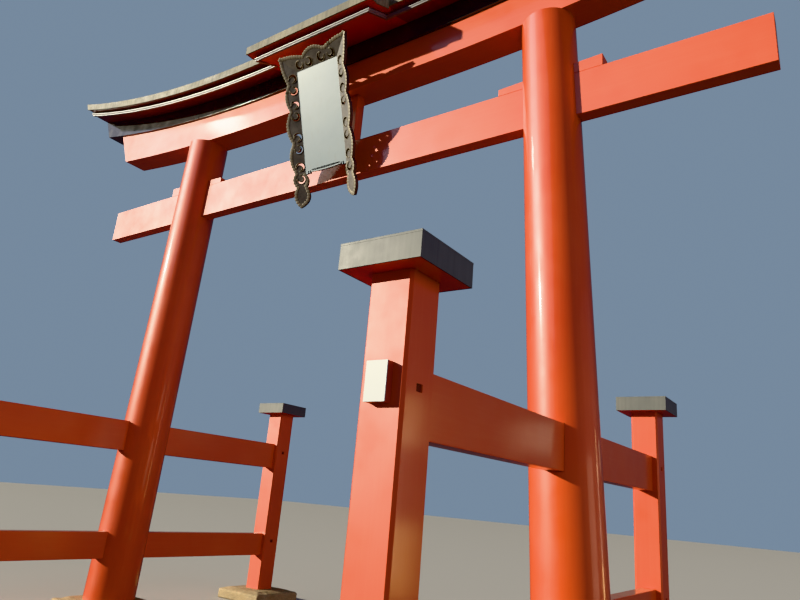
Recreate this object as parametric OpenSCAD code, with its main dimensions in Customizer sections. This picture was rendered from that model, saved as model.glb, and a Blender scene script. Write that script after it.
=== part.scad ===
// Four-legged torii gate with a curved, copper-clad roof over its lintel.
// Millimetres. X runs along the gate, Y through it, Z up. The origin lies on the
// ground in the middle of the gate; the front, with the plaque, faces -Y.

/* [Foundation stones] */
// Height of the foundation stones above the ground
stone_h = 150; // [100:10:300]
// Side of the square stones under the round pillars
pillar_stone_w = 880; // [800:10:1100]
// Side of the square stones under the posts
post_stone_w = 780; // [500:10:900]
// Width of the sloping margin round a stone's flat top
stone_margin = 110; // [60:10:140]
// How far that margin falls to the edge
stone_fall = 30; // [10:5:60]

/* [Pillars] */
// Distance between the pillars' centres at their feet
pillar_spacing = 5470; // [5000:10:6000]
// Lean of the pillars towards each other, in degrees
pillar_lean = 2.7; // [0:0.1:4]
// Diameter of a pillar at its foot
pillar_foot_d = 560; // [500:10:640]
// Diameter of a pillar at its head
pillar_head_d = 500; // [440:10:560]

/* [Posts and caps] */
// Distance between the centres of a front and a rear post
post_spacing = 4550; // [3800:10:5200]
// Side of the square posts
post_w = 260; // [220:5:320]
// Height of a post above its stone
post_h = 2425; // [2300:5:2900]
// Width of the flat cut along each corner of a post
post_chamfer = 16; // [8:1:40]
// Side of a post's cap
cap_w = 494; // [400:2:620]
// Height of the cap's sides
cap_h = 140; // [90:5:200]
// Thickness of the metal that covers the cap
cap_skin = 6; // [3:1:12]
// Rise of the cap's top to its middle
cap_rise = 36; // [10:2:80]
// How far the lip round the cap's upper edge stands out
cap_lip = 3; // [2:1:16]
// Height of that lip
cap_lip_h = 12; // [8:1:30]

/* [Tie beams] */
// Thickness of the tie beams between post, pillar and post
tie_t = 134; // [100:2:170]
// Height of an upper tie beam
upper_tie_h = 340; // [250:10:400]
// Underside of an upper tie beam above the stone
upper_tie_z = 1637; // [1300:1:1900]
// Height of a lower tie beam
lower_tie_h = 284; // [200:2:340]
// Underside of a lower tie beam above the stone
lower_tie_z = 446; // [300:1:700]
// Wood left in front of a tie beam's end inside its post
tenon_cover = 45; // [20:5:80]
// Width of the pegs that lock the tie beams in the posts
peg_w = 52; // [30:2:70]
// Height of those pegs
peg_h = 38; // [24:2:60]
// How far a peg's ends stay back from the post's faces
peg_recess = 9; // [4:1:20]

/* [Nuki and wedges] */
// Length of the nuki, the beam through both pillars
nuki_l = 8580; // [7600:20:9200]
// Height of the nuki
nuki_h = 430; // [340:10:500]
// Thickness of the nuki
nuki_t = 134; // [100:2:180]
// Underside of the nuki above the stone
nuki_z = 4660; // [4300:10:4900]
// Reach of a wedge to each side of its pillar's centre
wedge_reach = 500; // [400:10:640]
// Height of a wedge at its outer end
wedge_outer_h = 118; // [90:2:150]
// Height of a wedge at its inner end
wedge_inner_h = 72; // [50:2:90]

/* [Strut and lintel] */
// Height of the middle strut between the nuki and the shimagi
strut_h = 615; // [450:5:800]
// Width of the middle strut
strut_w = 430; // [300:10:600]
// Thickness of the middle strut
strut_t = 120; // [90:2:160]
// Thickness of the shimagi, the lower lintel
shimagi_t = 320; // [260:10:400]
// Height of the shimagi in the middle
shimagi_h = 360; // [280:10:440]
// Half length of the shimagi along its underside
shimagi_reach = 4250; // [4000:10:4500]
// Thickness of the kasagi, the upper lintel
kasagi_t = 380; // [330:10:460]
// Height of the kasagi in the middle
kasagi_h = 235; // [180:5:300]
// Half length of the kasagi along its underside
kasagi_reach = 4864; // [4650:2:5000]
// Outward slant of the lintels' ends from upright, in degrees
end_slant = 26.5; // [0:0.5:35]

/* [Curve of the lintel] */
// Half length of the level middle part
sori_flat = 915; // [600:5:1500]
// Rise of the shimagi's underside, 5 m from the middle
shimagi_rise = 300; // [150:10:420]
// Rise of the shimagi's top, 5 m from the middle
kasagi_rise = 440; // [300:10:520]
// Rise of the kasagi's top, 5 m from the middle
board_rise = 488; // [400:10:560]
// Rise of the eaves, 5 m from the middle
eave_rise = 571; // [500:10:680]

/* [Roof] */
// Drop of the eaves' lower edge below the kasagi's top
eave_drop = 100; // [60:2:160]
// Reach of the lower moulding from the middle of the gate, on the side roofs
eave_reach = 440; // [390:5:520]
// How much further the middle roof reaches at the front, over the plaque
porch_step = 295; // [220:5:360]
// How far the middle roof's front edge lies below the side roofs' edges
porch_drop = 124; // [60:2:150]
// Half width of the middle roof at its lower moulding
porch_half = 825; // [700:5:860]
// Height of the lower moulding
moulding_h = 64; // [40:2:90]
// Thickness of the lower moulding
moulding_t = 18; // [10:1:40]
// How far the soffit lies above the moulding's lower edge
soffit_lip = 16; // [6:1:30]
// Step from the lower moulding out to the copper edge
edge_step = 90; // [50:2:130]
// Height of the copper edge
edge_h = 100; // [70:2:140]
// How far the copper edge hangs below the board that it covers
edge_lip = 9; // [4:1:20]
// Thickness of the copper cover
cover_t = 12; // [6:1:20]
// How far the copper end plates stay behind the cover's edge
plate_recess = 5; // [2:1:12]
// Rise of the roof from the copper edge to the ridge
roof_rise = 246; // [226:2:340]
// Half width of the ridge
ridge_half = 95; // [60:5:140]
// Height of the ridge above the roof's top line
ridge_h = 70; // [40:5:120]

/* [Plaque] */
// Width of the plaque's board
plaque_w = 584; // [480:4:700]
// Height of the board along its slope
plaque_h = 1168; // [900:4:1300]
// Thickness of the board
plaque_t = 36; // [24:2:70]
// Width of the foot at each end of the board's lower edge
board_foot = 32; // [16:2:60]
// Width of each of the two notches beside a foot
board_notch_w = 17; // [8:1:40]
// Width of the tooth between those two notches
board_tooth_w = 13; // [6:1:30]
// Height of the notches
board_notch_h = 32; // [10:2:50]
// Swell of the edge between the notches, as a share of its length
board_swell = 0.025; // [0:0.005:0.06]
// Forward lean of the board, in degrees
plaque_lean = 17.6; // [10:0.2:22]
// Gap between the plaque's frame and the eaves above it
plaque_gap = 82; // [40:2:140]
// Distance of the board's lower front edge from the gate's middle plane
plaque_out = 210; // [190:2:260]
// Width of the carved frame at its corners
frame_w = 199; // [140:1:240]
// Width of the frame at the waists between its lobes
frame_waist = 120; // [80:2:150]
// Swell of a long lobe, as a share of its length
lobe_swell = 0.15; // [0.05:0.01:0.25]
// Forward splay of the frame from the board's face, in degrees
frame_splay = 23; // [8:1:30]
// Thickness of the frame
frame_t = 36; // [18:1:44]
// How far the side pieces run down below the board
frame_drop = 367; // [240:1:420]
// Outer radius of the crescents cut through the frame
crescent_r = 48; // [30:1:54]
// Width of a crescent at its middle
crescent_w = 26; // [12:1:32]
// Distance between the two crescents of a pair
crescent_pitch = 138; // [120:2:170]

/* [Small box] */
// Width of the box on the front of the right front post
box_w = 125; // [80:5:180]
// Height of the box
box_h = 196; // [120:2:280]
// Depth of the box without its front plate
box_d = 44; // [25:1:70]
// Thickness of the front plate
box_plate_t = 5; // [2:1:8]
// Centre of the box above the stone
box_z = 1870; // [1500:10:2200]

/* [Hidden] */

$fn = 96;
far = 20000;
cut = 5;

// Heights above the ground
upper_tie_bottom = stone_h + upper_tie_z;
lower_tie_bottom = stone_h + lower_tie_z;
nuki_bottom = stone_h + nuki_z;
nuki_top = nuki_bottom + nuki_h;
shimagi_bottom = nuki_top + strut_h;
kasagi_bottom = shimagi_bottom + shimagi_h;
kasagi_top = kasagi_bottom + kasagi_h;
eave_z = kasagi_top - eave_drop;
board_z = eave_z + moulding_h;
edge_bottom = board_z - edge_lip;
edge_top = edge_bottom + edge_h;
ridge_z = edge_top + roof_rise;
post_top = stone_h + post_h;

// Places along and across the gate
tie_middle = (upper_tie_z + upper_tie_h / 2 + lower_tie_z + lower_tie_h / 2) / 2;
post_x = pillar_spacing / 2 - tie_middle * tan(pillar_lean);
post_y = post_spacing / 2;
tie_half = post_y + post_w / 2 - tenon_cover;
porch_reach = eave_reach + porch_step;
porch_z = eave_z - porch_drop;

// The lintel's upward curve: level in the middle, then a parabola that reaches 1
// at the reference length. Every curved piece takes its points at these stations,
// so that layers which lie on each other share their flats.
sori_reference = 5000;
sori_flats = 15;
slant_run = 300;
sori_straight = kasagi_reach - slant_run / 2;
sori_step = (sori_straight - sori_flat) / sori_flats;
sori_outermost = kasagi_reach + slant_run;

// Beyond the last station the curve runs on straight, past all the slanted ends
function parabola(x) = pow((x - sori_flat) / (sori_reference - sori_flat), 2);
sori_slope = (parabola(sori_outermost) - parabola(sori_straight)) / (sori_outermost - sori_straight);
stations = [for (i = [0 : sori_flats]) sori_flat + i * sori_step];
sori_table = concat([[0, 0]], [for (x = stations) [x, parabola(x)]],
    [[far, parabola(sori_straight) + sori_slope * (far - sori_straight)]]);

function sori(x) = lookup(abs(x), sori_table);
function curve_z(z, rise, x) = z + rise * sori(x);

// Where a line of the given height and rise meets the slanted end plane that
// passes through the point from_x, from_z
function slant_x(z, rise, from_x, from_z, x = undef, turns = 20) =
    let (here = is_undef(x) ? from_x : x,
         next = from_x + (curve_z(z, rise, here) - from_z) * tan(end_slant))
    turns == 0 ? next : slant_x(z, rise, from_x, from_z, next, turns - 1);

// Stations from the level part out to the end of a beam
function half_stations(x_end) =
    concat([for (x = stations) if (x < x_end - sori_step / 8) x], [x_end]);
function full_stations(x_end) = let (h = half_stations(x_end), n = len(h))
    concat([for (i = [n - 1 : -1 : 0]) -h[i]], h);

// Side outline of a curved beam, in X and Z
function beam_outline(z_low, rise_low, x_low, z_high, rise_high, x_high) =
    let (low = full_stations(x_low), high = full_stations(x_high), n = len(high))
    concat([for (x = low) [x, curve_z(z_low, rise_low, x)]],
           [for (i = [n - 1 : -1 : 0]) [high[i], curve_z(z_high, rise_high, high[i])]]);

// Solid between y = -t/2 and y = t/2 with an outline in X and Z
module upright_plate(outline, t) {
    translate([0, t / 2, 0])
        rotate([90, 0, 0])
            linear_extrude(height = t)
                polygon(outline);
}

// Foundation stones
module stone(x, y, w) {
    top_w = w - 2 * stone_margin;
    color("tan")
        translate([x, y, 0])
            rotate([0, 0, 45]) {
                cylinder(h = stone_h - stone_fall, r = w / sqrt(2), $fn = 4);
                translate([0, 0, stone_h - stone_fall])
                    cylinder(h = stone_fall, r1 = w / sqrt(2), r2 = top_w / sqrt(2), $fn = 4);
            }
}

// Room for the beams that pass through the pillars and posts
module tie_room(side, z, h, end = 0) {
    translate([side * post_x, 0, z + h / 2])
        cube([tie_t, 2 * tie_half + end, h], center = true);
}

module nuki_room(extra = 0) {
    translate([0, 0, nuki_bottom + nuki_h / 2])
        cube([nuki_l + extra, nuki_t, nuki_h], center = true);
}

// A wedge lies on the nuki and passes through the pillar, thick end outwards
function pillar_x(z) = pillar_spacing / 2 - (z - stone_h) * tan(pillar_lean);
wedge_x = pillar_x(nuki_top);

module wedge_shape(side) {
    inner = wedge_x - wedge_reach;
    outer = wedge_x + wedge_reach;
    upright_plate([[side * inner, nuki_top], [side * outer, nuki_top],
        [side * outer, nuki_top + wedge_outer_h], [side * inner, nuki_top + wedge_inner_h]], nuki_t);
}

// Everything above the shimagi's curved underside
module above_shimagi() {
    x_low = shimagi_reach;
    upright_plate(concat([for (x = full_stations(x_low))
        [x, curve_z(shimagi_bottom, shimagi_rise, x)]], [[x_low, far], [-x_low, far]]), 4 * pillar_head_d);
}

// Round pillar: a tapered log that leans inwards, cut level on its stone and along
// the shimagi's underside, with mortises for the nuki, its wedge and both ties
module pillar(side) {
    run = shimagi_bottom + shimagi_rise - stone_h;
    taper = (pillar_foot_d - pillar_head_d) / (shimagi_bottom - stone_h);
    color("orangered")
        difference() {
            translate([side * pillar_spacing / 2, 0, stone_h])
                rotate([0, -side * pillar_lean, 0])
                    translate([0, 0, -pillar_foot_d / 4])
                        cylinder(h = run + pillar_foot_d / 4, d1 = pillar_foot_d + taper * pillar_foot_d / 4,
                            d2 = pillar_foot_d - taper * run);
            translate([side * pillar_spacing / 2, 0, stone_h - pillar_foot_d])
                cube([2 * pillar_foot_d, 2 * pillar_foot_d, 2 * pillar_foot_d], center = true);
            above_shimagi();
            nuki_room();
            wedge_shape(side);
            tie_room(side, upper_tie_bottom, upper_tie_h);
            tie_room(side, lower_tie_bottom, lower_tie_h);
        }
}

// Square post with flat-cut corners, mortised for its ties and their pegs
module post(side, end) {
    half = post_w / 2;
    c = half - post_chamfer;
    color("orangered")
        difference() {
            translate([side * post_x, end * post_y, stone_h])
                linear_extrude(height = post_h)
                    polygon([[-c, -half], [c, -half], [half, -c], [half, c], [c, half], [-c, half],
                        [-half, c], [-half, -c]]);
            tie_room(side, upper_tie_bottom, upper_tie_h);
            tie_room(side, lower_tie_bottom, lower_tie_h);
            peg_row(side, end, post_w + 2 * cut);
        }
}

// The two pegs of one post, or the holes for them
module peg_row(side, end, length) {
    for (z = [upper_tie_bottom + upper_tie_h * 2 / 3, lower_tie_bottom + lower_tie_h * 2 / 3])
        translate([side * post_x, end * post_y, z])
            cube([length, peg_w, peg_h], center = true);
}

module post_pegs() {
    color("maroon")
        for (side = [-1, 1])
            for (end = [-1, 1])
                peg_row(side, end, post_w - 2 * peg_recess);
}

// Board on top of each post, painted like the post
module cap_boards() {
    w = cap_w - 2 * cap_skin;
    color("firebrick")
        for (side = [-1, 1])
            for (end = [-1, 1])
                translate([side * post_x, end * post_y, post_top + (cap_h - cap_skin) / 2])
                    cube([w, w, cap_h - cap_skin], center = true);
}

// Metal cover of a cap: upright sides, a lip round the upper edge and a low
// pyramid that starts inside the lip
module cap_cover(side, end) {
    w = cap_w - 2 * cap_skin;
    lip_w = cap_w + 2 * cap_lip;
    color("darkkhaki")
        translate([side * post_x, end * post_y, post_top]) {
            difference() {
                union() {
                    translate([0, 0, cap_h / 2])
                        cube([cap_w, cap_w, cap_h], center = true);
                    translate([0, 0, cap_h - cap_lip_h / 2])
                        cube([lip_w, lip_w, cap_lip_h], center = true);
                }
                translate([0, 0, (cap_h - cap_skin) / 2 - cut])
                    cube([w, w, cap_h - cap_skin + 2 * cut], center = true);
            }
            translate([0, 0, cap_h])
                rotate([0, 0, 45])
                    cylinder(h = cap_rise, r1 = w / sqrt(2), r2 = 0, $fn = 4);
        }
}

module tie(side, z, h) {
    color("orangered")
        difference() {
            tie_room(side, z, h);
            for (end = [-1, 1])
                peg_row(side, end, post_w);
        }
}

module nuki() {
    color("orangered") nuki_room();
}

module nuki_wedges() {
    color("orangered")
        for (side = [-1, 1])
            wedge_shape(side);
}

module middle_strut() {
    color("orangered")
        translate([0, 0, nuki_top + strut_h / 2])
            cube([strut_w, strut_t, strut_h], center = true);
}

// Lower lintel, deeper towards its ends
shimagi_end_z = curve_z(shimagi_bottom, shimagi_rise, shimagi_reach);
module shimagi() {
    color("orangered")
        upright_plate(beam_outline(shimagi_bottom, shimagi_rise, shimagi_reach,
            kasagi_bottom, kasagi_rise,
            slant_x(kasagi_bottom, kasagi_rise, shimagi_reach, shimagi_end_z)), shimagi_t);
}

// Upper lintel; its ends and the roof's ends lie in one slanted plane
kasagi_end_z = curve_z(kasagi_bottom, kasagi_rise, kasagi_reach);
function roof_end(z, rise, back = 0) = slant_x(z, rise, kasagi_reach - back, kasagi_end_z);
module kasagi() {
    color("black")
        upright_plate(beam_outline(kasagi_bottom, kasagi_rise, kasagi_reach,
            kasagi_top, board_rise, roof_end(kasagi_top, board_rise)), kasagi_t);
}

// Sweeps an outline along the right half of the lintel's curve to its slanted
// end. Each outline point is [y, height in the middle, rise], in order from the
// front underside over the top to the rear; end_faces lists the convex pieces of
// the outline by their points, and back sets the end plane back.
module side_sweep(outline, end_faces, x_start, back = 0) {
    n = len(outline);
    xs = concat([x_start], [for (x = stations) if (x > x_start) x]);
    m = len(xs);
    ends = [for (p = outline) let (x = roof_end(p[1], p[2], back)) [x, p[0], curve_z(p[1], p[2], x)]];
    points = concat([for (x = xs, p = outline) [x, p[0], curve_z(p[1], p[2], x)]], ends);
    sides = [for (i = [0 : m - 1], j = [0 : n - 1])
        let (k = (j + 1) % n) [i * n + k, (i + 1) * n + k, (i + 1) * n + j, i * n + j]];
    polyhedron(points = points, faces = concat(turned(end_faces), shifted(end_faces, m * n), sides),
        convexity = 6);
}
function turned(faces) = [for (f = faces) [for (i = [len(f) - 1 : -1 : 0]) f[i]]];
function shifted(faces, by) = [for (f = faces) [for (i = f) i + by]];

// Drop of an edge that reaches out further than the side roofs' edges do
function drop(reach) = reach > eave_reach ? porch_drop : 0;

// Outline of the whole roof, front half first: soffit from the kasagi's top edge
// out to the moulding, then the boards under the copper edge, up to the ridge
function soffit_points(reach) = [[-kasagi_t / 2, kasagi_top, board_rise],
    [-(reach - moulding_t), eave_z - drop(reach) + soffit_lip, eave_rise],
    [-(reach - moulding_t), board_z - drop(reach), eave_rise]];
function board_points(reach) = let (y = reach + edge_step - cover_t)
    [[-y, board_z - drop(reach), eave_rise], [-y, edge_top - drop(reach) - cover_t, eave_rise]];
sheet_top = [0, ridge_z - cover_t, eave_rise];
function rear(points) = [for (i = [len(points) - 1 : -1 : 0]) [-points[i][0], points[i][1], points[i][2]]];
function eaves_outline(reach) = concat(soffit_points(reach), board_points(reach),
    [sheet_top], rear(concat(soffit_points(eave_reach), board_points(eave_reach))));
// As one fan of triangles from the ridge point, which sees all the others
eaves_faces = let (ridge = 5, n = 11) [for (i = [1 : n - 2]) [ridge, (ridge + i) % n, (ridge + i + 1) % n]];

// Solid between two X values with an outline in Y and Z
module level_prism(outline, x0, x1) {
    translate([x0, 0, 0])
        rotate([90, 0, 90])
            linear_extrude(height = x1 - x0)
                polygon([for (p = outline) [p[0], p[1]]]);
}

porch_lower_half = porch_half - moulding_t;
porch_edge_half = porch_half + edge_step;
porch_inner_half = porch_edge_half - cover_t;

// Along its sides the middle roof's boards slope down to its front moulding
porch_bend = porch_reach - moulding_t;
function side_fall(y) = porch_drop * (y - eave_reach) / (porch_bend - eave_reach);
porch_side_outline = concat(soffit_points(eave_reach),
    [[-eave_reach, board_z, eave_rise], [-porch_bend, board_z - porch_drop, eave_rise]],
    board_points(porch_reach), [sheet_top],
    rear(concat(soffit_points(eave_reach), board_points(eave_reach))));

// Timber of a side roof: soffit and boards, from the middle roof to the end
module side_eaves(side) {
    color("darkred")
        mirror([side < 0 ? 1 : 0, 0, 0])
            side_sweep(eaves_outline(eave_reach), eaves_faces, porch_edge_half,
                cover_t + plate_recess);
}

// Timber of the middle roof, stepped in below its copper edges
module middle_eaves() {
    color("darkred") {
        level_prism(eaves_outline(porch_reach), -porch_lower_half, porch_lower_half);
        for (side = [0, 1])
            mirror([side, 0, 0]) {
                level_prism(porch_side_outline, porch_lower_half, porch_inner_half);
                level_prism(eaves_outline(eave_reach), porch_inner_half, porch_edge_half);
            }
    }
}

// Lower moulding, front and rear
function moulding_outline(reach) = let (inner = reach - moulding_t)
    [[-inner, eave_z, eave_rise], [-reach, eave_z, eave_rise],
     [-reach, board_z, eave_rise], [-inner, board_z, eave_rise]];
module side_moulding(side) {
    color("silver")
        mirror([side < 0 ? 1 : 0, 0, 0]) {
            side_sweep(moulding_outline(eave_reach), [[0, 1, 2, 3]], porch_lower_half);
            mirror([0, 1, 0])
                side_sweep(moulding_outline(eave_reach), [[0, 1, 2, 3]], porch_lower_half);
        }
}

module middle_moulding() {
    color("silver") {
        translate([-porch_half, -porch_reach, porch_z])
            cube([2 * porch_half, moulding_t, moulding_h]);
        for (x = [-porch_half, porch_lower_half])
            level_prism([[-eave_reach, eave_z], [-porch_bend, porch_z],
                [-porch_bend, porch_z + moulding_h], [-eave_reach, board_z]], x, x + moulding_t);
        translate([-porch_lower_half, eave_reach - moulding_t, eave_z])
            cube([2 * porch_lower_half, moulding_t, moulding_h]);
    }
}

// Copper cover: upright edge and roof sheet, front edge first
cover_faces = [[0, 1, 2, 9], [2, 3, 8, 9], [3, 4, 7, 8], [4, 5, 6, 7]];
function edge_points(reach) = let (y = reach + edge_step, low = edge_bottom - drop(reach))
    [[cover_t - y, low, eave_rise], [-y, low, eave_rise], [-y, low + edge_h, eave_rise]];
function cover_outline(reach) = concat(edge_points(reach), [[0, ridge_z, eave_rise]],
    rear(edge_points(eave_reach)), [rear(board_points(eave_reach))[0], sheet_top, board_points(reach)[1]]);

module side_roof(side) {
    color("burlywood")
        mirror([side < 0 ? 1 : 0, 0, 0])
            side_sweep(cover_outline(eave_reach), cover_faces, porch_edge_half);
}

// Copper plates that close the ends of the side roofs, a little behind the edge
// of the copper cover
module roof_end_plates() {
    outline = eaves_outline(eave_reach);
    n = len(outline);
    points = [for (back = [plate_recess + cover_t, plate_recess], p = outline)
        let (x = roof_end(p[1], p[2], back)) [x, p[0], curve_z(p[1], p[2], x)]];
    sides = [for (j = [0 : n - 1]) let (k = (j + 1) % n) [k, n + k, n + j, j]];
    color("burlywood")
        for (side = [0, 1])
            mirror([side, 0, 0])
                polyhedron(points = points, faces = concat(turned(eaves_faces),
                    shifted(eaves_faces, n), sides), convexity = 4);
}

// The middle roof's copper also closes its ends where it stands out past the
// side roofs
module middle_roof() {
    side_edge = board_points(eave_reach)[1];
    step = concat(board_points(porch_reach), [sheet_top, side_edge],
        [[side_edge[0], board_z - side_fall(-side_edge[0])], [-porch_bend, board_z - porch_drop]]);
    color("burlywood") {
        level_prism(cover_outline(porch_reach), -porch_edge_half, porch_edge_half);
        for (side = [0, 1])
            mirror([side, 0, 0])
                level_prism(step, porch_inner_half, porch_edge_half);
    }
}

// Ridge box over all three roofs
function roof_fall(reach) = ridge_half * (roof_rise + drop(reach)) / (reach + edge_step);
function ridge_outline(reach) =
    [[-ridge_half, ridge_z - roof_fall(reach), eave_rise], [-ridge_half, ridge_z + ridge_h, eave_rise],
     [ridge_half, ridge_z + ridge_h, eave_rise], [ridge_half, ridge_z - roof_fall(eave_reach), eave_rise],
     [0, ridge_z, eave_rise]];
ridge_faces = [[4, 0, 1], [4, 1, 2], [4, 2, 3]];
module ridge() {
    color("burlywood") {
        level_prism(ridge_outline(porch_reach), -porch_edge_half, porch_edge_half);
        for (side = [0, 1])
            mirror([side, 0, 0])
                side_sweep(ridge_outline(eave_reach), ridge_faces, porch_edge_half);
    }
}

// The plaque stands in its own frame: X across, Y to the back of the board and
// Z up its slope, with the origin in the middle of the board's lower front edge
plaque_z = porch_z - plaque_gap - frame_w * cos(plaque_lean + frame_splay) - plaque_h * cos(plaque_lean);
module at_plaque() {
    translate([0, -plaque_out, plaque_z])
        rotate([plaque_lean, 0, 0])
            children();
}

// Arc that swells to the right of the way from a to b, by a share of its length
lobe_steps = 8;
function lobe(a, b, swell) = [for (i = [0 : lobe_steps - 1]) let (t = i / lobe_steps)
    a + t * (b - a) + 4 * t * (1 - t) * swell * [b[1] - a[1], a[0] - b[0]]];
function flipped(points) = [for (i = [len(points) - 1 : -1 : 0]) [-points[i][0], points[i][1]]];

// Board with a foot, two notches and a tooth at each end of its lower edge and a
// shallow swell between them
module plaque_board() {
    foot_in = plaque_w / 2 - board_foot;
    tooth_out = foot_in - board_notch_w;
    tooth_in = tooth_out - board_tooth_w;
    swell_end = tooth_in - board_notch_w;
    edge = [[plaque_w / 2, plaque_h], [plaque_w / 2, 0], [foot_in, 0], [foot_in, board_notch_h],
        [tooth_out, board_notch_h], [tooth_out, 0], [tooth_in, 0], [tooth_in, board_notch_h],
        [swell_end, board_notch_h], [swell_end, board_notch_h / 2]];
    color("lightsteelblue")
        at_plaque()
            translate([0, plaque_t, 0])
                rotate([90, 0, 0])
                    linear_extrude(height = plaque_t)
                        polygon(concat(edge, lobe(edge[9], [-swell_end, board_notch_h / 2], -board_swell),
                            flipped(edge)));
}

// The frame flares forward round the board like a tray and is mitred at its two
// upper corners. Each plate is drawn in its own plane, then cut along the mitre
// and along the board.
inner_edge = -2 * frame_t * tan(frame_splay);
module past_mitre(turn) {
    translate([plaque_w / 2, 0, plaque_h])
        rotate([0, turn, 0])
            translate([-far / 2, -far / 2, 0])
                cube([far, far, far]);
}
module board_room() {
    translate([-plaque_w / 2, -far / 2, 0])
        cube([plaque_w, far, plaque_h]);
}

// Two crescents beside a waist, open towards the waist's notch
crescent_inner_r = crescent_r * 0.76;
crescent_shift = (crescent_w - (crescent_r - crescent_inner_r)) / sqrt(2);
module crescent_pair() {
    for (up = [-1, 1])
        translate([frame_waist / 2, up * crescent_pitch / 2])
            difference() {
                circle(crescent_r);
                translate([crescent_shift, -up * crescent_shift])
                    circle(crescent_inner_r);
            }
}

// Side piece, X outwards from the board's edge and Y up along it. Its waists
// are shares of the board's height, from the pointed tip upwards.
side_waists = [-0.116, 0.019, 0.309, 0.628, 0.884];
side_swells = [0.2, 0.22, lobe_swell, lobe_swell, lobe_swell, 0.05];
side_tip = [frame_w * 0.45, -frame_drop];
side_corner = [frame_w, plaque_h + frame_w * cos(frame_splay)];
side_notches = concat([side_tip], [for (w = side_waists) [frame_waist, w * plaque_h]], [side_corner]);
inner_notch = [0, side_waists[0] * plaque_h];
side_outline = concat(
    [for (i = [0 : len(side_swells) - 1]) each lobe(side_notches[i], side_notches[i + 1], side_swells[i])],
    [side_corner, side_corner + [0, frame_w], [inner_edge, side_corner[1] + frame_w], [inner_edge, 0]],
    lobe([0, 0], inner_notch, 0.2), lobe(inner_notch, side_tip, 0.28));

module plaque_side_frame(side) {
    color("dimgray")
        at_plaque()
            mirror([side < 0 ? 1 : 0, 0, 0])
                difference() {
                    translate([plaque_w / 2, 0, 0])
                        rotate([0, 0, -frame_splay])
                            rotate([90, 0, 0])
                                translate([0, 0, -frame_t])
                                    linear_extrude(height = frame_t)
                                        difference() {
                                            polygon(side_outline);
                                            for (i = [1 : len(side_waists) - 1])
                                                translate([0, side_waists[i] * plaque_h])
                                                    crescent_pair();
                                        }
                    past_mitre(-45);
                    board_room();
                }
}

// Top piece, X across and Y up from the board's upper edge, drawn from its right
// corner over three lobes to the left one
top_waist = [plaque_w * 0.27, frame_waist * 1.18];
top_corner = [plaque_w / 2 + frame_w * cos(frame_splay), frame_w];
top_right = concat([[plaque_w / 2 + 2 * frame_t, inner_edge], top_corner + [2 * frame_t, 0]],
    lobe(top_corner, top_waist, 0.05), [top_waist]);
top_outline = concat(top_right, lobe(top_waist, [-top_waist[0], top_waist[1]], 0.19), flipped(top_right));

module plaque_top_frame() {
    color("dimgray")
        at_plaque()
            difference() {
                translate([0, 0, plaque_h])
                    rotate([frame_splay, 0, 0])
                        rotate([90, 0, 0])
                            translate([0, 0, -frame_t])
                                linear_extrude(height = frame_t)
                                    difference() {
                                        polygon(top_outline);
                                        for (x = [-top_waist[0], top_waist[0]])
                                            translate([x, 0])
                                                rotate(90)
                                                    crescent_pair();
                                    }
                for (side = [0, 1])
                    mirror([side, 0, 0])
                        past_mitre(135);
                board_room();
            }
}

// Stays between the lintel and the board's head, and blocks on the nuki at its foot
bracket_w = 40;
bracket_x = plaque_w / 6;
stay_z = shimagi_bottom + shimagi_h * 0.6;
block_z = nuki_top - nuki_h / 4;
module plaque_brackets() {
    color("dimgray")
        difference() {
            for (side = [-1, 1]) {
                translate([side * bracket_x - bracket_w / 2, -far / 10, stay_z])
                    cube([bracket_w, far / 10 - shimagi_t / 2, bracket_w / 2]);
                translate([side * bracket_x - bracket_w / 2, -far / 10, block_z])
                    cube([bracket_w, far / 10 - nuki_t / 2, bracket_w]);
            }
            at_plaque()
                translate([-far / 2, plaque_t - far, -far / 2])
                    cube([far, far, far]);
        }
}

module small_box() {
    color("firebrick")
        translate([post_x - box_w / 2, -post_y - post_w / 2 - box_d, stone_h + box_z - box_h / 2])
            cube([box_w, box_d, box_h]);
}

module small_box_plate() {
    color("ivory")
        translate([post_x - box_w / 2, -post_y - post_w / 2 - box_d - box_plate_t,
            stone_h + box_z - box_h / 2])
            cube([box_w, box_plate_t, box_h]);
}

stone(-pillar_spacing / 2, 0, pillar_stone_w);  // left_pillar_stone
stone(pillar_spacing / 2, 0, pillar_stone_w);  // right_pillar_stone
stone(-post_x, -post_y, post_stone_w);  // left_front_stone
stone(-post_x, post_y, post_stone_w);  // left_rear_stone
stone(post_x, -post_y, post_stone_w);  // right_front_stone
stone(post_x, post_y, post_stone_w);  // right_rear_stone
pillar(-1);  // left_pillar
pillar(1);  // right_pillar
post(-1, -1);  // left_front_post
post(-1, 1);  // left_rear_post
post(1, -1);  // right_front_post
post(1, 1);  // right_rear_post
cap_cover(-1, -1);  // left_front_cap
cap_cover(-1, 1);  // left_rear_cap
cap_cover(1, -1);  // right_front_cap
cap_cover(1, 1);  // right_rear_cap
cap_boards();
tie(-1, upper_tie_bottom, upper_tie_h);  // left_upper_tie
tie(-1, lower_tie_bottom, lower_tie_h);  // left_lower_tie
tie(1, upper_tie_bottom, upper_tie_h);  // right_upper_tie
tie(1, lower_tie_bottom, lower_tie_h);  // right_lower_tie
post_pegs();
nuki();
nuki_wedges();
middle_strut();
shimagi();
kasagi();
side_eaves(-1);  // left_eaves
middle_eaves();
side_eaves(1);  // right_eaves
side_moulding(-1);  // left_moulding
middle_moulding();
side_moulding(1);  // right_moulding
side_roof(-1);  // left_roof
middle_roof();
side_roof(1);  // right_roof
roof_end_plates();
ridge();
plaque_board();
plaque_top_frame();
plaque_side_frame(-1);  // plaque_left_frame
plaque_side_frame(1);  // plaque_right_frame
plaque_brackets();
small_box();
small_box_plate();
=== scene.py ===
import math

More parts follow.
